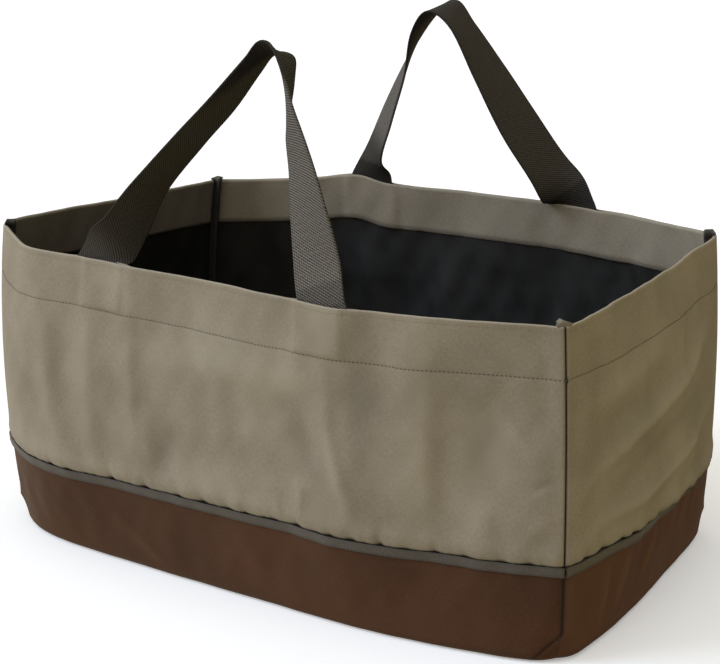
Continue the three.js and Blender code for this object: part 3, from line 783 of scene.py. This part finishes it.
def panelOut(name, along, z):
    # sum of what the wall's plain form lacks: strap ends under the cloth, stitch grooves, and the
    # swelling, the puckers and the turned edges at its seams
    form, across, near = panelForm, acrossAt(name, along), endDistance(name, along)
    sag, pucker = sagAt(name, along), puckersAt(name, across)
    up, drop = z - bag["foot"] + sag, rimAt(name, along) - z
    out = -hump(drop - bag["hem"], *form["hemGroove"])
    out = out - hump(drop - bag["edgeStitch"], *form["edgeGroove"])
    for middle, *_ in walls[name]["straps"]:
        over = 0.5 * (1 + np.tanh((bag["strap"] / 2 - np.abs(across - middle)) / form["strapEdge"]))
        out = out + form["strapRelief"] * over * ramp(drop - bag["hem"], *form["strapFoot"])
    loose = 1 - form["sagEase"] * sag
    out = out + hump(up, *form["bulge"]) - hump(up, *form["pucker"]) * pucker * loose
    out = out * ramp(near, 0, form["endFade"]) + sag * hump(up, *form["sagOut"])
    curl, width, wider = form["footCurl"]
    return out - curl * loose * bell(up, width + wider * pucker) - hump(near, *form["endCurl"])


def makePanel(name):
    # grid from the seam up to the hem line, on to the rim, and over the rim in a quarter turn
    form, size, radius = panelForm, wallLength(name), panelForm["rimRadius"]
    columns = form["endGap"] + spacedSteps(size - 2 * form["endGap"], *form["across"])
    along = (columns / size)[None, :]
    rim, sag = rimAt(name, along[0])[None, :], sagAt(name, along)
    foot, hem, shoulder = bag["foot"] - sag, rim - bag["hem"], rim - radius
    below = spacedSteps(1.0, *(v / form["belowHem"] for v in form["below"]))[:, None]
    above = spacedSteps(1.0, *(v / bag["hem"] for v in form["above"]))[1:-1, None]
    angles = np.radians(form["rollAngles"])[:, None]
    z = np.concatenate([
        foot + (hem - foot) * below,
        hem + (shoulder - hem) * above,
        shoulder + radius * np.sin(angles),
    ])
    roll = np.concatenate([np.zeros((len(below) + len(above), 1)), radius * (1 - np.cos(angles))])
    along = np.broadcast_to(along, z.shape)
    points = wallPoint(name, along, z, panelOut(name, along, z) - roll)
    across, up = acrossAt(name, along), z - foot
    crests = crestsAt(name, across, z) * cornerFade(name, along)
    # painted shade along the foot, at both ends, under the sag and in the valleys; painted
    # highlight on the rim and on the crests
    dark, width, wider = form["footShade"]
    shade = np.maximum.reduce([
        dark * bell(up, width + wider * puckersAt(name, across)),
        bell(endDistance(name, along) - form["endGap"], form["endShade"]),
        sag * hump(up, *form["sagShade"]),
        -form["valleyShade"] * crests,
    ])
    paintedLight = np.maximum(hump(rim - z, *form["rimHighlight"]), form["crestHighlight"] * crests)
    uv, marks = np.stack([across, z], -1), {"shade": shade, "paintedLight": paintedLight}
    piece = makeSheet(name + "_panel_cloth", points, uv, False, [tanCloth, blackCoating], marks)
    addThickness(piece, bag["cloth"], 1)
    return carry(piece, name + "_panel")


panels = {name: makePanel(name) for name in wallOrder}
print("panels made")

# facing inside the rim: it steps in over each strap end; painted shade darkens it on the listed
# walls and along its hem, and a painted highlight lights its top edge
facingForm = {
    "across": (1.5, 3.0, 12), "depth": 46.0, "rows": 18, "stop": 4.0, "top": 0.7, "thickness": 0.8,
    "inset": 2.7, "step": 2.4, "stepEdge": (1.5, 12.5), "hemShade": (0.5, 0, 0.9),
    "rimHighlight": (0.4, 0.7, 1.2), "paintedInnerShade": {"left": 0.4}, "innerShadeFade": 4,
}


def makeFacing(name):
    # grid from the facing's foot to just under the rim, moved in from the wall by the inset and the
    # steps
    form, size = facingForm, wallLength(name)
    along = ((form["stop"] + spacedSteps(size - 2 * form["stop"], *form["across"])) / size)[None, :]
    rim = rimAt(name, along[0])[None, :]
    share = np.linspace(0, 1, form["rows"])[:, None]
    z = rim - form["depth"] + (form["depth"] - form["top"]) * share
    along = np.broadcast_to(along, z.shape)
    across, drop = acrossAt(name, along), rim - z
    inset = form["inset"] - hump(drop - bag["hem"], *panelForm["hemGroove"])
    for middle, shift, lean in walls[name]["straps"]:
        tilt = math.radians(lean)
        aside = np.abs((across - middle - shift) * math.cos(tilt) + drop * math.sin(tilt))
        inset = inset + form["step"] * (1 - ramp(aside - bag["strap"] / 2, *form["stepEdge"]))
    # painted shade: darker on the listed walls and along the hem; painted highlight at the top edge
    innerShade = form["paintedInnerShade"].get(name, 0) * ramp(drop, 0, form["innerShadeFade"])
    shade = np.maximum(hump(drop - bag["hem"], *form["hemShade"]), innerShade)
    uv, marks = np.stack([across, z], -1), {"shade": shade, "paintedLight": hump(drop, *form["rimHighlight"])}
    points = wallPoint(name, along, z, -inset)
    piece = makeSheet(name + "_facing_cloth", points, uv, True, [tanCloth], marks)
    addThickness(piece, form["thickness"], 0)
    return carry(piece, name + "_facing")


facings = {name: makeFacing(name) for name in wallOrder}
print("facings made")

# Brown tray. At each corner a groove, which the cloth dips towards, runs down to a slanting tuck on
# the long walls, and below that the corner is cut round. Painted light makes a listed wall's side
# paler. The groove, the tuck, the lower edge and the valleys get painted shade, and the crests a
# painted highlight.
trayForm = {
    "across": (0.7, 3.0, 26), "top": 79.8, "side": (1.0, 2.8, 14), "edgeRadius": 8.0,
    "edgeAngles": (15, 30, 45, 60, 75, 90), "floorRings": 12, "floorStep": 20, "groove": 1.6,
    "grooveWidth": 1.9, "grooveFoot": (23, 27), "grooveShade": 0.95,
    "tuckWalls": ("front", "back"), "tuckHeight": 26.0, "tuckReach": 25.0, "tuckEnd": 28.0,
    "tuckWidth": 1.2, "tuckDepth": 0.9, "tuckFoot": 6, "tuckShade": 0.8, "tuckShadeFoot": 3,
    "cornerCut": 6.5, "cutRise": (26, 4), "seamDip": (1.2, 0, 7), "dipFoot": (20, 35),
    "dipTop": (76, 66), "floorShade": (0.5, 0, 2.2), "valleyShade": 0.12, "crestHighlight": 0.2,
    "paintedSideLight": {"right": 0.38}, "wearFoot": 12,
}


def tuckAt(name, along, z):
    # bell across the upright groove, faded out at its foot, and bell across the slanting line
    form, near = trayForm, endDistance(name, along)
    reach, height = form["tuckReach"], form["tuckHeight"]
    groove = bell(near, form["grooveWidth"]) * ramp(z, *form["grooveFoot"])
    distance = (near / reach + z / height - 1) / math.hypot(1 / reach, 1 / height)
    tuck = bell(distance, form["tuckWidth"]) * (near < form["tuckEnd"])
    return groove, tuck * (name in form["tuckWalls"])


def makeTray():
    # rows from the seam down and in round the lower edge, one strip for each wall, then rings that
    # shrink to the middle of the floor
    form, radius = trayForm, trayForm["edgeRadius"]
    sides = radius + spacedSteps(form["top"] - radius, *form["side"])[::-1]
    angles = np.radians(form["edgeAngles"])
    z = np.concatenate([sides, radius - radius * np.sin(angles)])[:, None]
    inset = np.concatenate([np.zeros(len(sides)), radius - radius * np.cos(angles)])[:, None]
    strips, shades, paintedLights, lengths, start = [], [], [], [], 0.0
    for name in wallOrder:
        size = wallLength(name)
        columns = spacedSteps(size, *form["across"])[:-1]
        along, height = np.broadcast_arrays((columns / size)[None, :], z)
        level, near = np.maximum(height, radius), endDistance(name, along)
        groove, tuck = tuckAt(name, along, z)
        crests = crestsAt(name, acrossAt(name, along), level) * cornerFade(name, along)
        rounding = np.clip(1 - near / form["tuckReach"], 0, 1) ** 2 * ramp(z, *form["cutRise"])
        dip = hump(near, *form["seamDip"]) * ramp(z, *form["dipFoot"]) * ramp(z, *form["dipTop"])
        out = -form["groove"] * groove - form["tuckDepth"] * tuck * ramp(z, 0, form["tuckFoot"])
        out = out - form["cornerCut"] * rounding - dip
        strips.append(wallPoint(name, along, height, out - inset, level))
        shades.append(np.maximum.reduce([
            form["grooveShade"] * groove,
            form["tuckShade"] * tuck * ramp(z, 0, form["tuckShadeFoot"]),
            hump(height, *form["floorShade"]),
            -form["valleyShade"] * crests,
        ]))
        # painted highlight on the crests, and painted light that makes the listed sides paler
        paintedLight = form["crestHighlight"] * np.maximum(crests, 0) + form["paintedSideLight"].get(name, 0)
        paintedLights.append(paintedLight * ramp(z, 0, form["wearFoot"]))
        lengths.append(start + columns)
        start += size
    band = np.concatenate(strips, 1)
    shrink = np.linspace(1, 0, form["floorRings"] + 1)[1:-1, None, None]
    floor = band[-1:] * np.array([1, 1, 0]) * shrink
    points = np.concatenate([band, floor])
    rows, count = points.shape[:2]
    plainFloor = np.zeros(floor.shape[:2])
    shade, paintedLight = [np.concatenate([np.hstack(mark), plainFloor]) for mark in (shades, paintedLights)]
    inwards = form["floorStep"] * np.arange(1, len(floor) + 1)
    down = bag["seam"] + np.concatenate([-z[:, 0], inwards])
    uv = pairGrid(down, np.concatenate([*lengths, [start]]))[..., ::-1]
    last = np.arange(count) + (rows - 1) * count
    fan = np.stack([np.roll(last, -1), last, np.full(count, rows * count)], -1)
    allPoints = np.concatenate([points.reshape(-1, 3), [[0, 0, 0]]])
    faces = gridFaces(rows, count, True, True).tolist() + fan.tolist()
    uvs = np.concatenate([gridUvs(uv, True), allPoints[fan][:, :, :2].reshape(-1, 2)])
    marks = {"shade": np.append(shade, 0), "paintedLight": np.append(paintedLight, 0)}
    piece = makeMesh("base_tray_cloth", allPoints, faces, uvs, [brownCloth, blackCoating], marks)
    addThickness(piece, bag["cloth"], 1)
    return carry(piece, "base_tray")


tray = makeTray()
print("tray made")

# grey tape over the seam; edge and inner are the points round each of its edges and along each face
tapeForm = {
    "width": 8.4, "thickness": 1.0, "edge": 4, "inner": 9, "lift": 0.4, "top": 81.6, "stop": 1.0,
    "step": 2.5, "edgeShade": (0.6, 0, 0.8),
}


def flatProfile(form):
    # loop round a strip: points along each face and half circles at both edges
    radius = form["thickness"] / 2
    half = form["width"] / 2 - radius
    turn = np.radians(np.linspace(-90, 90, form["edge"] + 1))
    face = np.linspace(-half, half, form["inner"] + 2)[1:-1]
    right = np.stack([half + radius * np.cos(turn), radius * np.sin(turn)], -1)
    top = np.stack([face[::-1], np.full(len(face), radius)], -1)
    return np.concatenate([right, top, -right, -top])


def stripUv(way, profile):
    # distance along a strip beside distance across it, with the loop closed
    return pairGrid(way, np.append(profile[:, 0], profile[0, 0]))


def makeSeamTape(name):
    # the profile carried along the wall, its width upright and its thickness outwards
    form, size = tapeForm, wallLength(name)
    columns = np.linspace(form["stop"], size - form["stop"], int(size / form["step"]))
    profile = flatProfile(form)
    z = form["top"] - form["width"] / 2 + profile[None, :, 0]
    out = form["lift"] + form["thickness"] / 2 + profile[None, :, 1]
    points = wallPoint(name, columns[:, None] / size, z, out)
    edges = hump(np.abs(profile[:, 0]) - form["width"] / 2, *form["edgeShade"])
    marks = {"shade": np.broadcast_to(edges, points.shape[:2])}
    piece = makeTube(name + "_seam_tape_band", points, stripUv(columns, profile), [greyTape], marks)
    return carry(piece, name + "_seam_tape")


tapes = {name: makeSeamTape(name) for name in wallOrder}
print("seam tapes made")

# binding inside each corner: a strip on edge whose folded end stands up as a small knob at the rim;
# pale is how far a painted highlight lightens the top of the knob at a wall's first corner
bindingForm = {
    "width": 10.0, "thickness": 2.4, "edge": 6, "inner": 5, "rows": 90, "foot": 80.6, "rise": 4.2,
    "inset": 1.9, "seat": 0.5, "flare": (2.2, 0, 1.6), "knob": 1.5, "knobLength": 7,
    "knobTurn": 0.75, "closeFrom": 0.55, "closeTo": 0.02, "slim": 0.28,
    "pale": {"front": 0.12, "right": 0.6, "back": 0.12, "left": 0.12}, "paleRise": 0.4,
}


def makeCornerTape(name):
    # the profile carried up the corner, its width inwards; its last stretch swells by a squared
    # sine and then closes like the end of an ellipse
    form = bindingForm
    top = corners[walls[name]["from"]]["height"] + form["rise"]
    z = np.linspace(form["foot"], top, form["rows"])
    mitre = mitreAt(name, False, z)
    inward = -unit(mitre)
    side = np.stack([-inward[:, 1], inward[:, 0]], -1)
    profile = flatProfile(form)
    end = np.clip((z - top) / form["knobLength"] + 1, 0, 1)
    swell = 1 + form["knob"] * np.sin(np.pi * form["knobTurn"] * end) ** 2
    closing = np.clip((end - form["closeFrom"]) / (1 - form["closeFrom"]), 0, 1)
    close = np.sqrt(np.clip(1 - closing ** 2, form["closeTo"], 1))
    slim = 1 - form["slim"] * (1 - close)
    depth = form["width"] / 2 + form["seat"] + profile[None, :, 0] * slim[:, None]
    flare = 1 + hump(profile[:, 0] + form["width"] / 2, *form["flare"])
    spreadOut = (profile[:, 1] * flare)[None, :] * (swell * close)[:, None]
    corner = smoothOutline(name, np.zeros(z.shape), z) - mitre * form["inset"]
    plan = corner[:, None] + inward[:, None] * depth[..., None]
    plan = plan + side[:, None] * spreadOut[..., None]
    points = np.concatenate([plan, np.broadcast_to(z[:, None, None], (*depth.shape, 1))], -1)
    # the shade mark paints a highlight here: the knob's top goes to the pale groove colour
    pale = form["pale"][name] * ramp(end, 0, form["paleRise"])
    marks = {"shade": np.broadcast_to(pale[:, None], depth.shape)}
    corner = cornerOf[name]
    piece = makeTube(corner + "_corner_binding", points, stripUv(z, profile), [blackBinding], marks)
    return carry(piece, corner + "_corner_tape")


bindings = {name: makeCornerTape(name) for name in wallOrder}
print("corner bindings made")

# Handles. Route: middle of the webbing, and the direction of its width as a turn from +X and a dip,
# in degrees. The stretch with a painted sheen, counted in points of the route, is a paler grey. The
# painted shade of the feet: how dark each leg is just above the rim. Ends: the wall's straps that
# it
# runs from and to. Rightward: 1 where its width runs to the wall's right at its first end.
handles = {
    "front_handle": {
        "wall": "front", "ends": (0, 1), "rightward": 1, "paintedSheen": (8.6, 20), "paintedFootShade": (0.0, 0.3),
        "route": [
            (-118, -177, 308, 64, 12), (-103, -158, 344, 92, 22), (-77, -140, 381, 94, 19),
            (-52, -129, 410, 94, 16), (-30, -121, 438, 97, 9), (-18, -118, 452, 95, 4),
            (-5, -118, 457, 85, 17), (5, -122, 453, 90, 33), (13, -129, 442, 101, 40),
            (23, -141, 424, 118, 44), (34, -154, 406, 133, 42), (51, -168, 381, 147, 36),
            (66, -180, 352, 160, 25), (82, -190, 308, 174, 10),
        ],
    },
    "back_handle": {
        "wall": "back", "ends": (1, 0), "rightward": -1, "paintedSheen": (0.1, 2.6), "paintedFootShade": (0.6, 0.4),
        "route": [
            (-108, 205, 312, -40, 12), (-91, 206, 355, -50, 15), (-68, 202, 402, -64, 15),
            (-46, 194, 445, -90, 14), (-22, 187, 466, -99, 10), (5, 182, 450, -93, 0),
            (36, 181, 407, -102, 10), (67, 185, 359, -112, 21), (96, 195, 315, -120, 23),
        ],
    },
}
# webbing: rises are the steps of an end below the rim; it cups and ripples where it is free, from
# the stiff height up, and lies flat between wall and facing
webbingForm = {
    "width": 46.0, "thickness": 2.0, "edge": 6, "inner": 21, "rises": (-34, -18, 0), "inset": 2.8,
    "step": 2.0, "selvedge": (0.25, -1.6, 1.2), "cup": 0.7, "cupWave": 47, "cupStart": 1.0,
    "cupLevel": 0.3, "ripple": 0.5, "rippleWaves": (31, 26), "stiff": 30, "flatBelow": 20,
    "flatFade": (5, -4), "sheenFade": 0.6, "footFade": (18, 13), "edgeShade": (0.5, 0, 1.0),
}


def splineThrough(points, at):
    # smooth curve that meets point i at i, its slope there half the step between the neighbours
    padded = np.concatenate([2 * points[:1] - points[1:2], points, 2 * points[-1:] - points[-2:-1]])
    i = np.clip(np.floor(at).astype(int), 0, len(points) - 2)
    t = (at - i)[:, None]
    p, q = padded[i + 1], padded[i + 2]
    m, n = (q - padded[i]) / 2, (padded[i + 3] - p) / 2
    return p + m * t + (3 * (q - p) - 2 * m - n) * t ** 2 + (2 * (p - q) + m + n) * t ** 3


def strapPlace(handle, end, above, e):
    # place on the wall of a point of a strap end: above the rim along the strap, and e across it,
    # both turned from upright by the strap's lean
    name = handle["wall"]
    size = wallLength(name)
    middle, shift, lean = walls[name]["straps"][handle["ends"][end]]
    tilt, lay = math.radians(lean), handle["rightward"] * (1 - 2 * end)
    mouth = 0.5 + (middle + shift) / size
    along = mouth + (above * math.sin(tilt) + lay * e * math.cos(tilt)) / size
    return along, rimAt(name, np.array(mouth)) + above * math.cos(tilt) - lay * e * math.sin(tilt)


def strapEnd(handle, end):
    # middle and width direction of a strap end at its steps
    rises, half = np.array(webbingForm["rises"], float), webbingForm["width"] / 2
    places = [strapPlace(handle, end, rises, e) for e in (-half, 0, half)]
    wall, inset = handle["wall"], webbingForm["inset"]
    low, middle, high = [wallPoint(wall, *place, -inset) for place in places]
    return middle, unit(high - low)


def makeHandle(name):
    # the profile carried along a spline through the route, its width square to the path
    form, handle = webbingForm, handles[name]
    wall, half = handle["wall"], form["width"] / 2
    leftPoint, leftAcross = strapEnd(handle, 0)
    rightPoint, rightAcross = strapEnd(handle, 1)
    route = np.array(handle["route"], float)
    turn, dip = np.radians(route[:, 3]), np.radians(route[:, 4])
    free = np.stack([np.cos(dip) * np.cos(turn), np.cos(dip) * np.sin(turn), -np.sin(dip)], -1)
    stations = np.concatenate([leftPoint, route[:, :3], rightPoint[::-1]])
    widths = np.concatenate([leftAcross, free, rightAcross[::-1]])
    last, inEnd, nudge = len(stations) - 1, len(leftPoint), 0.01
    fine = np.linspace(0, last, fineSteps)
    travelled = pathLengths(splineThrough(stations, fine))
    at = np.interp(np.arange(0, travelled[-1], form["step"]), travelled, fine)
    way = np.interp(at, fine, travelled)
    middle = splineThrough(stations, at)
    behind, ahead = [splineThrough(stations, np.clip(at + n, 0, last)) for n in (-nudge, nudge)]
    tangent = unit(ahead - behind)
    across = splineThrough(widths, at)
    across = unit(across - tangent * (across * tangent).sum(1, keepdims=True))
    normal = np.cross(tangent, across)
    profile = flatProfile(form)
    e = profile[:, 0]
    lift = profile[:, 1] * (1 + hump(np.abs(e) - half, *form["selvedge"]))
    cup = form["cup"] * np.sin(way / form["cupWave"] + form["cupStart"])
    cup = cup[:, None] * ((e / half) ** 2 - form["cupLevel"])[None, :]
    alongWave, acrossWave = form["rippleWaves"]
    cup = cup + form["ripple"] * np.sin(way[:, None] / alongWave + e[None, :] / acrossWave)
    rims = np.interp([inEnd - 1, last - inEnd + 1], fine, travelled)
    above = (way - rims[0], rims[1] - way)
    cup = cup * ramp(np.minimum(*above), 0, form["stiff"])[:, None]
    points = middle[:, None] + across[:, None] * e[None, :, None]
    points = points + normal[:, None] * (lift[None, :] + cup)[..., None]
    for end in (0, 1):
        # below the rim the strap lies flat between the wall and its facing
        rows = above[end] < form["flatBelow"]
        place, z = strapPlace(handle, end, above[end][rows][:, None], e[None, :])
        outwards = outwardAt(wall, *strapPlace(handle, end, above[end][rows], 0.0))
        facing = np.sign((outwards * normal[rows]).sum(1, keepdims=True))
        flat = wallPoint(wall, place, z, -form["inset"])
        flat = flat + (outwards * facing)[:, None] * lift[None, :, None]
        share = ramp(z - rimAt(wall, place), *form["flatFade"])[..., None]
        points[rows] = points[rows] * (1 - share) + flat * share
    edges = hump(np.abs(e) - half, *form["edgeShade"])[None, :]
    # painted shade darkens each leg just above the rim
    paintedFootShade = sum(dark * ramp(rise, *form["footFade"]) for dark, rise in zip(handle["paintedFootShade"], above))
    # a painted sheen makes the listed stretch paler
    first, final = handle["paintedSheen"]
    station, fade = at - inEnd, form["sheenFade"]
    paintedSheen = ramp(station, first, first + fade) * ramp(station, final, final - fade)
    paintedLight = np.broadcast_to(paintedSheen[:, None], points.shape[:2])
    marks = {"shade": np.maximum(edges, paintedFootShade[:, None]), "paintedLight": paintedLight}
    uv = stripUv(way, profile)[..., ::-1]
    piece = makeTube(name + "_webbing", points, uv, [darkWebbing], marks)
    print(name, "webbing length", round(float(travelled[-1]), 1), "mm")
    return carry(piece, name)


straps = {name: makeHandle(name) for name in handles}
print("handles made")

# stitches: short arched threads; pitch from one to the next, length of the part that shows, drop
# from the rim and material; the tape's row is above its lower edge, and one knot ends the hem's row
# at a wall's first corner
stitchForm = {
    "hem": {
        "pitch": 3.4, "length": 2.5, "radius": 0.3, "arch": 0.25, "drop": bag["hem"], "thread": 0,
    },
    "edge": {
        "pitch": 3.4, "length": 2.5, "radius": 0.22, "arch": 0.15, "drop": bag["edgeStitch"],
        "thread": 1,
    },
    "tape": {"pitch": 3.0, "length": 2.3, "radius": 0.28, "arch": 0.2, "edge": 1.4, "thread": 0},
    "knot": {
        "pitch": 2.0, "length": 3.2, "radius": 1.3, "arch": 0.3, "wall": "right", "sink": 0.5,
        "span": (-2.0, 0.0, 2.0), "thread": 2,
    },
    "sides": 6, "rings": 6, "stop": 2.5, "samples": 1500, "taper": 0.86, "dive": 1.6,
    "flat": (2.4, 1.8),
}


def valuesAt(values, travelled, way):
    # three columns read at distances along a path
    return np.stack([np.interp(way, travelled, values[:, k]) for k in range(3)], -1)


def stitchRow(path, outward, form, nudge=0.4):
    # tubes thin at both ends, arched out of the cloth, one at each pitch of the path
    travelled = pathLengths(path)
    centres = np.arange(form["pitch"], travelled[-1] - form["pitch"] / 2, form["pitch"])
    middle = valuesAt(path, travelled, centres)
    behind, ahead = [valuesAt(path, travelled, centres + n) for n in (-nudge, nudge)]
    ahead = unit(ahead - behind)
    out = valuesAt(outward, travelled, centres)
    out = unit(out - ahead * (out * ahead).sum(1, keepdims=True))
    side = np.cross(ahead, out)
    t = np.linspace(-1, 1, stitchForm["rings"])[:, None]
    angle = np.linspace(0, 2 * np.pi, stitchForm["sides"], endpoint=False)[None, :]
    thick = form["radius"] * np.sqrt(1 - stitchForm["taper"] * t ** 4)
    x = form["length"] / 2 * t + 0 * angle
    y = thick * np.cos(angle)
    h = thick * np.sin(angle) + form["arch"] * (1 - stitchForm["dive"] * t ** 2)
    moves = ((ahead, x), (side, y), (out, h))
    moved = sum(way[:, None, None] * size[None, :, :, None] for way, size in moves)
    return middle[:, None, None] + moved


def stitchesMesh(name, rows):
    # all stitches share one small grid of faces, shifted from stitch to stitch; a row is points and
    # a thread
    points = np.concatenate([row for row, thread in rows])
    threads = np.concatenate([np.full(len(row), thread) for row, thread in rows])
    count, rings, sides = points.shape[:3]
    quads = gridFaces(rings, sides, True, True)
    ends = [np.arange(sides), np.arange(sides)[::-1] + (rings - 1) * sides]
    shift = np.arange(count)[:, None, None] * rings * sides
    faces = (quads[None] + shift).reshape(-1, 4).tolist()
    faces += (np.stack(ends)[None] + shift).reshape(-1, sides).tolist()
    flatLength, flatRound = stitchForm["flat"]
    uv = pairGrid(np.linspace(0, flatLength, rings), np.linspace(0, flatRound, sides + 1))
    uvs = np.concatenate([np.tile(gridUvs(uv, True), (count, 1)), np.zeros((count * 2 * sides, 2))])
    piece = makeMesh(name, points.reshape(-1, 3), faces, uvs, [darkThread, tanThread, knotThread])
    threadOf = np.concatenate([np.repeat(threads, len(quads)), np.repeat(threads, 2)])
    piece.data.polygons.foreach_set("material_index", threadOf.astype(np.int32))
    return carry(piece)


def wallStitches(name):
    # rows along the hem and the edge of the wall's cloth and along the tape's face, and the knot
    size, stop = wallLength(name), stitchForm["stop"]
    along = np.linspace(stop, size - stop, stitchForm["samples"]) / size
    rows = []
    for kind in ("hem", "edge", "tape"):
        form = stitchForm[kind]
        if kind == "tape":
            z = np.full(along.shape, tapeForm["top"] - tapeForm["width"] + form["edge"])
            lift = tapeForm["lift"] + tapeForm["thickness"]
        else:
            z = rimAt(name, along) - form["drop"]
            lift = panelOut(name, along, z)
        row = stitchRow(wallPoint(name, along, z, lift), outwardAt(name, along, z), form)
        rows.append((row, form["thread"]))
    form = stitchForm["knot"]
    if name == form["wall"]:
        z = corners[walls[name]["from"]]["height"] - bag["hem"] + np.array(form["span"])
        mitre = mitreAt(name, False, z)
        plan = smoothOutline(name, np.zeros(z.shape), z) - form["sink"] * mitre
        knot = np.concatenate([plan, z[:, None]], 1)
        outward = np.concatenate([mitre, np.zeros((len(z), 1))], 1)
        rows.append((stitchRow(knot, outward, form), form["thread"]))
    return stitchesMesh(name + "_stitching", rows)


stitches = {name: wallStitches(name) for name in wallOrder}
print("stitches made")
# pale floor and soft studio light: a glow that is bright on the left and in front and dim on the
# right, a key lamp from the front left, a lamp level with the right side and a weak one from above
studio = {
    "floor": {
        "size": 24.0, "colour": (0.9, 0.92, 0.97), "pale": (0.92, 0.94, 0.99), "grain": 3.0,
        "roughness": 0.9, "gloss": 0.1, "glow": 0.3,
    },
    "glow": {
        "from": (-0.85, -0.5, 0.15), "colour": (1.0, 0.91, 0.71), "middle": 0.48, "slope": 0.45,
        "backdrop": (0.93, 0.94, 0.96),
    },
    "lamps": {
        "key": {
            "from": (-0.66, -0.5, 0.56), "strength": 1.45, "angle": 30,
            "colour": (0.62, 0.77, 1.0),
        },
        "side": {
            "from": (0.95, 0.28, -0.12), "strength": 0.72, "angle": 20,
            "colour": (1.0, 0.82, 0.33),
        },
        "top": {
            "from": (0.1, -0.2, 0.97), "strength": 0.6, "angle": 60,
            "colour": (0.9, 0.93, 0.95),
        },
    },
}


def makeWorld(spec):
    # brightness rises in a straight line from the far side of the sky to the side the glow comes
    # from; behind the bag a plain backdrop shows in place of the glow
    world = bpy.data.worlds.new("studio")
    world.use_nodes = True
    tree = world.node_tree
    facing = addNode(tree, "ShaderNodeVectorMath", operation="DOT_PRODUCT")
    put(tree, facing.inputs[0], addNode(tree, "ShaderNodeTexCoord").outputs["Generated"])
    put(tree, facing.inputs[1], spec["from"])
    background = tree.nodes["Background"]
    background.inputs["Color"].default_value = (*spec["colour"], 1)
    glow = calc(tree, "MULTIPLY_ADD", facing.outputs["Value"], spec["slope"], spec["middle"])
    put(tree, background.inputs["Strength"], glow)
    backdrop = addNode(tree, "ShaderNodeBackground")
    backdrop.inputs["Color"].default_value = (*spec["backdrop"], 1)
    choose = addNode(tree, "ShaderNodeMixShader")
    put(tree, choose.inputs[0], addNode(tree, "ShaderNodeLightPath").outputs["Is Camera Ray"])
    put(tree, choose.inputs[1], background.outputs[0])
    put(tree, choose.inputs[2], backdrop.outputs[0])
    put(tree, tree.nodes["World Output"].inputs["Surface"], choose.outputs[0])
    scene.world = world


def makeFloor(spec):
    # pale square that takes shadows and throws no light back
    half = spec["size"] / 2
    square = [(-half, -half, 0), (half, -half, 0), (half, half, 0), (-half, half, 0)]
    mesh = bpy.data.meshes.new("floor")
    mesh.from_pydata(square, [], [(0, 1, 2, 3)])
    floor = bpy.data.objects.new("floor", mesh)
    scene.collection.objects.link(floor)
    floor.visible_diffuse = False    # the glow and the side lamp stand for what it throws back
    floor.visible_glossy = False
    floor.visible_shadow = False
    material, tree, shader = newMaterial("floor")
    grain = noise(tree, objectCoordinates(tree), spec["grain"], 2.0)
    put(tree, shader.inputs["Base Color"], blendColours(tree, grain, spec["colour"], spec["pale"]))
    shader.inputs["Roughness"].default_value = spec["roughness"]
    shader.inputs["Specular IOR Level"].default_value = spec["gloss"]
    shader.inputs["Emission Color"].default_value = (1, 1, 1, 1)
    shader.inputs["Emission Strength"].default_value = spec["glow"]
    mesh.materials.append(material)


def makeLamp(name, spec):
    # sun lamp whose own z axis points to where its light comes from
    data = bpy.data.lights.new(name, "SUN")
    data.energy = spec["strength"]
    data.angle = math.radians(spec["angle"])
    data.color = spec["colour"]
    lamp = bpy.data.objects.new(name, data)
    scene.collection.objects.link(lamp)
    z = unit(np.array(spec["from"], float))
    x = unit(np.cross((0, 1, 0), z))
    y = np.cross(z, x)
    lamp.matrix_world = Matrix([(x[k], y[k], z[k], 0) for k in range(3)] + [(0, 0, 0, 1)])


makeWorld(studio["glow"])
makeFloor(studio["floor"])
for name, lamp in studio["lamps"].items():
    makeLamp(name, lamp)
scene.view_settings.view_transform = "Standard"
print("studio set")
